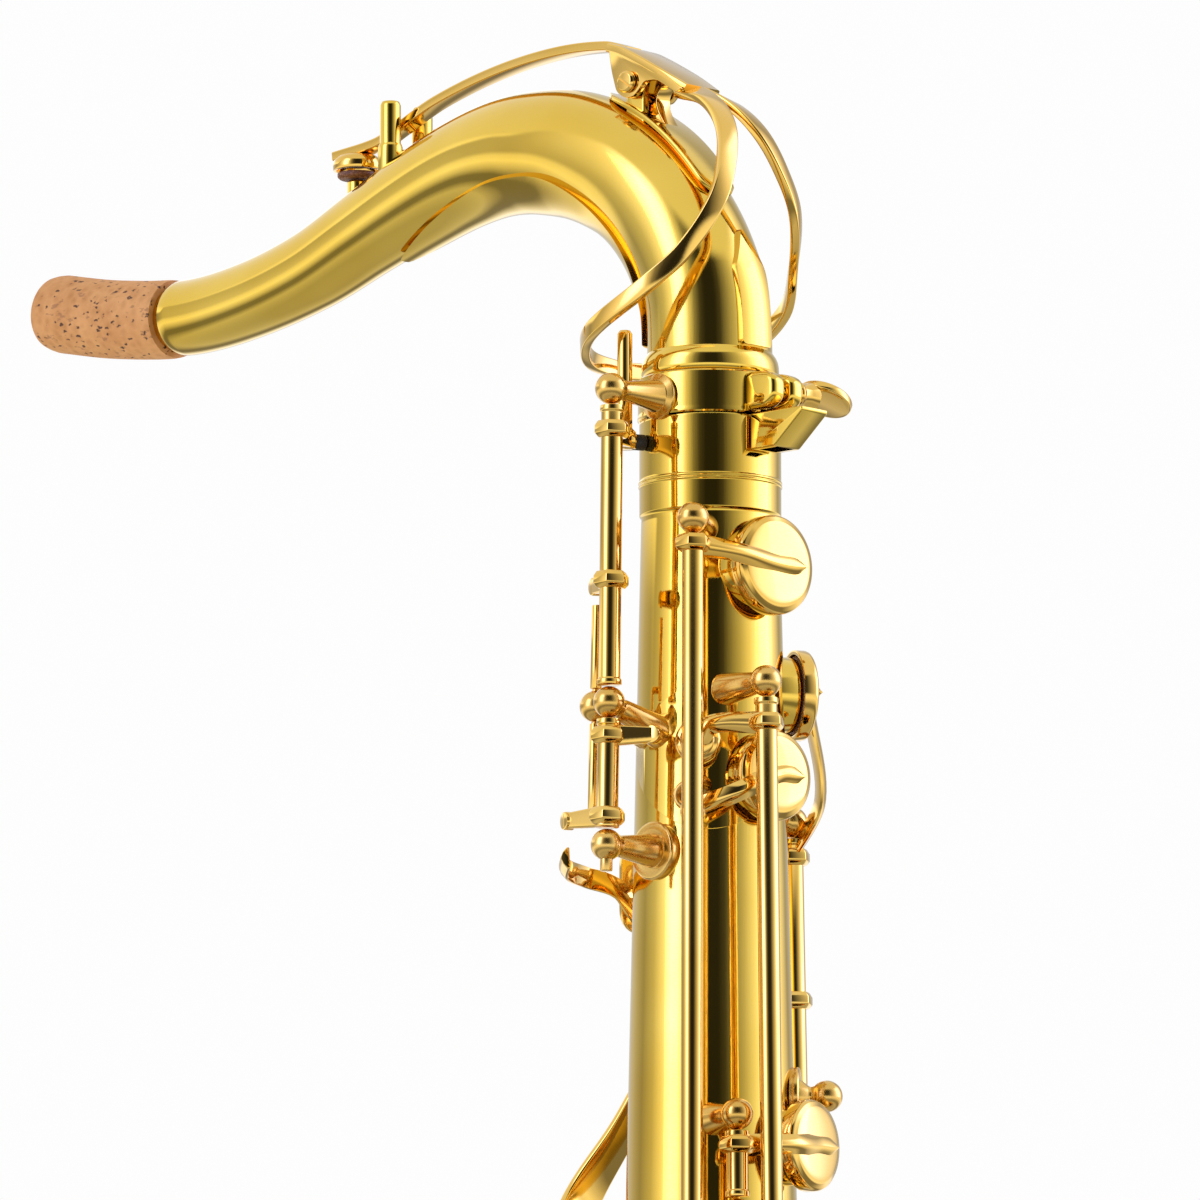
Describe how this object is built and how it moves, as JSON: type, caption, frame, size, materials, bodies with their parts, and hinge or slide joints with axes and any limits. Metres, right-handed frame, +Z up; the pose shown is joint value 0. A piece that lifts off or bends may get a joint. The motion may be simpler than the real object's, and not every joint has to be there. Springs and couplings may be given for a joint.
{
  "type": "tenor saxophone",
  "caption": "Conical brass body with bow and flared bell, swivelling neck with corked end and octave key, padded cups on long rods with post balls, pearl finger touches and guards.",
  "frame": {"origin": "centre of the strap ring eye on the back of the body tube, in the plane of body and bell", "axes": "+Z up along the body tube towards the neck, +X from the body towards the bell, +Y towards the palm-key side; the neck runs out towards -X"},
  "size_m": [0.4039, 0.1564, 0.772],
  "materials": {
    "brass": "lacquered and polished",
    "rose_brass": "lacquered, rose tint",
    "cork": "natural sheet cork",
    "leather": "brown pad leather",
    "pearl": "polished pearl",
    "rubber": "satin black"
  },
  "bodies": {
    "body": {"body_tube": "brass", "strap_ring": "rose_brass", "receiver_clamp": "brass", "clamp_screw": "rose_brass", "lyre_socket": "brass", "bow": "brass", "bell": "brass", "body_bow_ring": "brass", "bell_bow_ring": "brass", "bow_guard": "brass", "bell_brace": "brass", "low_key_guard": "rose_brass", "bell_key_guard": "rose_brass", "thumb_rest": "rubber", "thumb_hook": "rose_brass"},
    "neck": {"neck_tube": "brass", "neck_cork": "cork", "neck_brace": "brass", "neck_shield": "brass", "neck_pivot_screw": "rose_brass"},
    "neck_octave_key": {"neck_octave_key": "rose_brass", "neck_octave_pad": "leather"},
    "high_f_sharp_key": {"high_f_sharp_key": "rose_brass", "high_f_sharp_key_pad": "leather"},
    "high_e_key": {"high_e_key": "rose_brass", "high_e_key_pad": "leather"},
    "palm_f_key": {"palm_f_key": "rose_brass", "palm_f_key_pad": "leather"},
    "palm_e_flat_key": {"palm_e_flat_key": "rose_brass"},
    "palm_d_key": {"palm_d_key": "rose_brass"},
    "high_c_key": {"high_c_key": "rose_brass", "high_c_key_pad": "leather"},
    "b_key": {"b_key": "rose_brass", "b_key_pearl": "pearl"},
    "a_key": {"a_key": "rose_brass", "a_key_pearl": "pearl"},
    "g_key": {"g_key": "rose_brass", "g_key_pearl": "pearl"},
    "g_sharp_key": {"g_sharp_key": "rose_brass"},
    "f_sharp_key": {"f_sharp_key": "rose_brass"},
    "f_key": {"f_key": "rose_brass", "f_key_pearl": "pearl"},
    "e_key": {"e_key": "rose_brass", "e_key_pearl": "pearl"},
    "d_key": {"d_key": "rose_brass", "d_key_pearl": "pearl"},
    "side_c_key": {"side_c_key": "rose_brass"},
    "side_b_flat_key": {"side_b_flat_key": "rose_brass"},
    "low_e_flat_key": {"low_e_flat_key": "rose_brass"},
    "low_c_key": {"low_c_key": "rose_brass"},
    "low_b_flat_key": {"low_b_flat_key": "rose_brass"},
    "low_b_key": {"low_b_key": "rose_brass"},
    "low_c_sharp_key": {"low_c_sharp_key": "rose_brass"},
    "octave_pin_lever": {"octave_pin_lever": "rose_brass"},
    "octave_transfer_lever": {"octave_transfer_lever": "rose_brass"},
    "octave_rocker": {"octave_rocker": "rose_brass"},
    "octave_thumb_key": {"octave_thumb_key": "rose_brass"},
    "body_octave_key": {"body_octave_key": "rose_brass"}
  },
  "joints": [
    {"name": "neck_swivel", "type": "hinge", "parent": "body", "child": "neck", "pos_m": [0.0314, 0, 0.34], "axis": [0, 0, 1], "range_deg": [-10, 10]},
    {"name": "neck_octave_key_hinge", "type": "hinge", "parent": "neck", "child": "neck_octave_key", "pos_m": [0.01339, 0, 0.40601], "axis": [0, 1, 0], "range_deg": [0, 1.6], "stiffness_Nm_per_rad": 0.08, "springref_deg": -14.32},
    {"name": "high_f_sharp_key_hinge", "type": "hinge", "parent": "body", "child": "high_f_sharp_key", "pos_m": [0.04786, -0.02266, 0.306], "axis": [0.0134, -0.0184, -0.9997], "range_deg": [0, 7], "stiffness_Nm_per_rad": 0.08, "springref_deg": -14.32},
    {"name": "high_e_key_hinge", "type": "hinge", "parent": "body", "child": "high_e_key", "pos_m": [0.04346, -0.01787, 0.251], "axis": [0.0127, -0.0189, -0.9997], "range_deg": [0, 8], "stiffness_Nm_per_rad": 0.08, "springref_deg": -14.32},
    {"name": "palm_f_key_hinge", "type": "hinge", "parent": "body", "child": "palm_f_key", "pos_m": [0.03224, 0.02401, 0.248], "axis": [-0.0008, -0.0228, 0.9997], "range_deg": [0, 5], "stiffness_Nm_per_rad": 0.08, "springref_deg": -14.32},
    {"name": "palm_e_flat_key_hinge", "type": "hinge", "parent": "body", "child": "palm_e_flat_key", "pos_m": [0.00617, 0.01019, 0.24], "axis": [0.0211, -0.0085, 0.9997], "range_deg": [0, 6], "stiffness_Nm_per_rad": 0.08, "springref_deg": -14.32},
    {"name": "palm_d_key_hinge", "type": "hinge", "parent": "body", "child": "palm_d_key", "pos_m": [0.0056, 0.01042, 0.213], "axis": [0.0211, -0.0085, 0.9997], "range_deg": [0, 6], "stiffness_Nm_per_rad": 0.08, "springref_deg": -14.32},
    {"name": "high_c_key_hinge", "type": "hinge", "parent": "body", "child": "high_c_key", "pos_m": [0.05332, -0.01535, 0.181], "axis": [-0.0187, 0.0131, 0.9997], "range_deg": [0, 5], "stiffness_Nm_per_rad": 0.08, "springref_deg": -14.32},
    {"name": "b_key_hinge", "type": "hinge", "parent": "body", "child": "b_key", "pos_m": [0.05371, -0.01562, 0.16], "axis": [-0.0187, 0.0131, 0.9997], "range_deg": [0, 6], "stiffness_Nm_per_rad": 0.08, "springref_deg": -14.32},
    {"name": "a_key_hinge", "type": "hinge", "parent": "body", "child": "a_key", "pos_m": [0.05419, -0.01596, 0.134], "axis": [-0.0187, 0.0131, 0.9997], "range_deg": [0, 6], "stiffness_Nm_per_rad": 0.08, "springref_deg": -14.32},
    {"name": "g_key_hinge", "type": "hinge", "parent": "body", "child": "g_key", "pos_m": [0.05485, -0.01642, 0.099], "axis": [-0.0187, 0.0131, 0.9997], "range_deg": [0, 6], "stiffness_Nm_per_rad": 0.08, "springref_deg": -14.32},
    {"name": "g_sharp_key_hinge", "type": "hinge", "parent": "body", "child": "g_sharp_key", "pos_m": [0.04567, 0.02684, 0.056], "axis": [-0.0107, -0.0201, 0.9997], "range_deg": [0, 7], "stiffness_Nm_per_rad": 0.08, "springref_deg": -14.32},
    {"name": "f_sharp_key_hinge", "type": "hinge", "parent": "body", "child": "f_sharp_key", "pos_m": [0.05682, -0.01847, 0.029], "axis": [-0.0184, 0.0134, 0.9997], "range_deg": [0, 5], "stiffness_Nm_per_rad": 0.08, "springref_deg": -14.32},
    {"name": "f_key_hinge", "type": "hinge", "parent": "body", "child": "f_key", "pos_m": [0.05754, -0.01899, -0.01], "axis": [-0.0184, 0.0134, 0.9997], "range_deg": [0, 5], "stiffness_Nm_per_rad": 0.08, "springref_deg": -14.32},
    {"name": "e_key_hinge", "type": "hinge", "parent": "body", "child": "e_key", "pos_m": [0.05829, -0.01954, -0.051], "axis": [-0.0184, 0.0134, 0.9997], "range_deg": [0, 5], "stiffness_Nm_per_rad": 0.08, "springref_deg": -14.32},
    {"name": "d_key_hinge", "type": "hinge", "parent": "body", "child": "d_key", "pos_m": [0.05912, -0.02014, -0.096], "axis": [-0.0184, 0.0134, 0.9997], "range_deg": [0, 5], "stiffness_Nm_per_rad": 0.08, "springref_deg": -14.32},
    {"name": "side_c_key_hinge", "type": "hinge", "parent": "body", "child": "side_c_key", "pos_m": [0.01045, -0.01758, 0.146], "axis": [-0.0174, -0.0146, -0.9997], "range_deg": [0, 7], "stiffness_Nm_per_rad": 0.08, "springref_deg": -14.32},
    {"name": "side_b_flat_key_hinge", "type": "hinge", "parent": "body", "child": "side_b_flat_key", "pos_m": [0.01913, -0.02516, 0.118], "axis": [-0.01, -0.0205, -0.9997], "range_deg": [0, 7], "stiffness_Nm_per_rad": 0.08, "springref_deg": -14.32},
    {"name": "low_e_flat_key_hinge", "type": "hinge", "parent": "body", "child": "low_e_flat_key", "pos_m": [0.02512, -0.03559, -0.152], "axis": [-0.004, -0.0224, -0.9997], "range_deg": [0, 6], "stiffness_Nm_per_rad": 0.3, "springref_deg": -20.05},
    {"name": "low_c_key_hinge", "type": "hinge", "parent": "body", "child": "low_c_key", "pos_m": [0.02493, -0.03669, -0.201], "axis": [0.004, 0.0224, 0.9997], "range_deg": [0, 5], "stiffness_Nm_per_rad": 0.3, "springref_deg": -20.05},
    {"name": "low_b_flat_key_hinge", "type": "hinge", "parent": "body", "child": "low_b_flat_key", "pos_m": [0.0492, -0.03998, 0.04], "axis": [-0.0093, 0.0208, 0.9997], "range_deg": [0, 3], "stiffness_Nm_per_rad": 0.3, "springref_deg": -20.05},
    {"name": "low_b_key_hinge", "type": "hinge", "parent": "body", "child": "low_b_key", "pos_m": [0.04278, -0.04245, 0.032], "axis": [-0.0059, 0.022, 0.9997], "range_deg": [0, 3], "stiffness_Nm_per_rad": 0.3, "springref_deg": -20.05},
    {"name": "low_c_sharp_key_hinge", "type": "hinge", "parent": "body", "child": "low_c_sharp_key", "pos_m": [0.03601, -0.04389, 0.024], "axis": [0.0024, -0.0226, -0.9997], "range_deg": [0, 3], "stiffness_Nm_per_rad": 0.3, "springref_deg": -20.05},
    {"name": "octave_pin_lever_hinge", "type": "hinge", "parent": "body", "child": "octave_pin_lever", "pos_m": [0.03036, -0.02975, 0.2681], "axis": [0.0005, 0.0146, 0.9999], "range_deg": [0, 6], "stiffness_Nm_per_rad": 0.08, "springref_deg": -14.32},
    {"name": "octave_transfer_lever_hinge", "type": "hinge", "parent": "body", "child": "octave_transfer_lever", "pos_m": [0.03034, -0.03044, 0.238], "axis": [0.0008, 0.0228, 0.9997], "range_deg": [0, 5], "stiffness_Nm_per_rad": 0.08, "springref_deg": -14.32},
    {"name": "octave_rocker_hinge", "type": "hinge", "parent": "body", "child": "octave_rocker", "pos_m": [0.02201, -0.02581, 0.2465], "axis": [0.0078, 0.0214, 0.9997], "range_deg": [0, 6]},
    {"name": "octave_thumb_key_hinge", "type": "hinge", "parent": "body", "child": "octave_thumb_key", "pos_m": [0.0071, 0.00342, 0.094], "axis": [0.0226, -0.0032, 0.9997], "range_deg": [0, 8], "stiffness_Nm_per_rad": 0.08, "springref_deg": -14.32},
    {"name": "body_octave_key_hinge", "type": "hinge", "parent": "body", "child": "body_octave_key", "pos_m": [0.05799, -0.01129, 0.2717], "axis": [-0.021, 0.0089, 0.9997], "range_deg": [0, 5], "stiffness_Nm_per_rad": 0.08, "springref_deg": -14.32}
  ],
  "couplings": [
    {"joint": "neck_octave_key_hinge", "follows": "octave_thumb_key_hinge", "ratio": 0.2},
    {"joint": "octave_pin_lever_hinge", "follows": "octave_thumb_key_hinge", "ratio": 0.75},
    {"joint": "octave_rocker_hinge", "follows": "octave_thumb_key_hinge", "ratio": 0.75},
    {"joint": "octave_transfer_lever_hinge", "follows": "body_octave_key_hinge", "ratio": 1}
  ]
}
